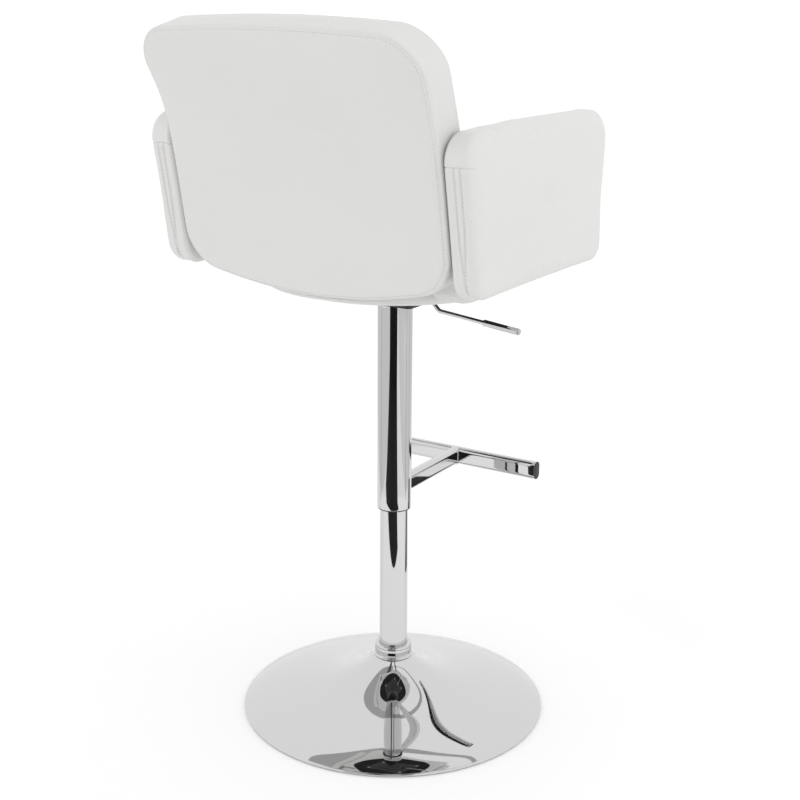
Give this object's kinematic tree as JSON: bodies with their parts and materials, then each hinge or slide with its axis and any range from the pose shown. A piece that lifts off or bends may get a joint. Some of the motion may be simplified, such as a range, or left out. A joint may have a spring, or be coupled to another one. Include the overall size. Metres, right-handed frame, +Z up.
{
  "type": "adjustable swivel stool",
  "caption": "Gas-lift swivel bar stool with a padded seat, leaning back and arm pads, a T-shaped footrest and a round dished base.",
  "frame": {"origin": "centre of the column at floor level", "axes": "+Z up along the column; the sitter faces -Y, the back pad is on +Y and the release lever on -X"},
  "size_m": [0.484, 0.5289, 1.018],
  "materials": {
    "polished_chrome": "mirror-polished chrome plate",
    "bare_steel": "plain turned steel",
    "black_enamel": "satin black paint",
    "cast_weight": "rough cast, painted grey",
    "floor_rubber": "matt black rubber",
    "black_nylon": "moulded black nylon",
    "plywood": "bare plywood",
    "underside_cloth": "thin black non-woven cloth",
    "white_upholstery": "off-white coated leather cloth with dark grey stitching"
  },
  "bodies": {
    "base": {"base_dish": "polished_chrome", "floor_ring": "floor_rubber", "base_weight": "cast_weight", "foot_flange": "bare_steel", "base_bolts": "bare_steel", "stand_tube": "polished_chrome", "neck_collar": "polished_chrome", "guide_bush": "black_nylon", "bearing_plate": "bare_steel", "lower_race": "bare_steel"},
    "bearing": {"ball_cage": "black_nylon", "bearing_balls": "bare_steel"},
    "piston": {"upper_race": "bare_steel", "piston_rod": "bare_steel", "rod_clip": "bare_steel", "piston_head": "bare_steel"},
    "seat": {"upper_tube": "polished_chrome", "footrest_crossbar": "polished_chrome", "footrest_stem": "polished_chrome", "lever_pivot_pin": "bare_steel", "plate_screws": "bare_steel", "back_bolts": "bare_steel", "arm_bolts": "bare_steel", "valve_body": "bare_steel", "tube_top_plug": "bare_steel", "gas_cylinder": "black_enamel", "mechanism_housing": "black_enamel", "seat_plate": "black_enamel", "tube_guide_ring": "black_nylon", "footrest_end_caps": "black_nylon", "cylinder_gland": "black_nylon", "seat_frame": "plywood", "back_board": "plywood", "arm_board_left": "plywood", "arm_board_right": "plywood", "dust_cover": "underside_cloth", "seat_cushion": "white_upholstery", "back_pad": "white_upholstery", "arm_pad_left": "white_upholstery", "arm_pad_right": "white_upholstery"},
    "lever": {"release_lever": "polished_chrome", "lever_grip": "polished_chrome"},
    "valve": {"valve_button": "black_nylon"}
  },
  "joints": [
    {"name": "swivel", "type": "hinge", "parent": "base", "child": "piston", "pos_m": [0, 0, 0.0335], "axis": [0, 0, 1], "continuous": true},
    {"name": "bearing_roll", "type": "hinge", "parent": "base", "child": "bearing", "pos_m": [0, 0, 0.0295], "axis": [0, 0, 1], "continuous": true},
    {"name": "height", "type": "slide", "parent": "piston", "child": "seat", "axis": [0, 0, 1], "range_m": [-0.2, 0]},
    {"name": "release", "type": "hinge", "parent": "seat", "child": "lever", "pos_m": [-0.022, 0, 0.645], "axis": [0, 1, 0], "range_deg": [0, 8], "stiffness_Nm_per_rad": 1.2, "springref_deg": -5.73},
    {"name": "valve_push", "type": "slide", "parent": "seat", "child": "valve", "axis": [0, 0, -1], "range_m": [0, 0.0031]}
  ],
  "couplings": [
    {"joint": "bearing_roll", "follows": "swivel", "ratio": 0.5},
    {"joint": "valve_push", "follows": "release", "m_per_rad": 0.022}
  ]
}
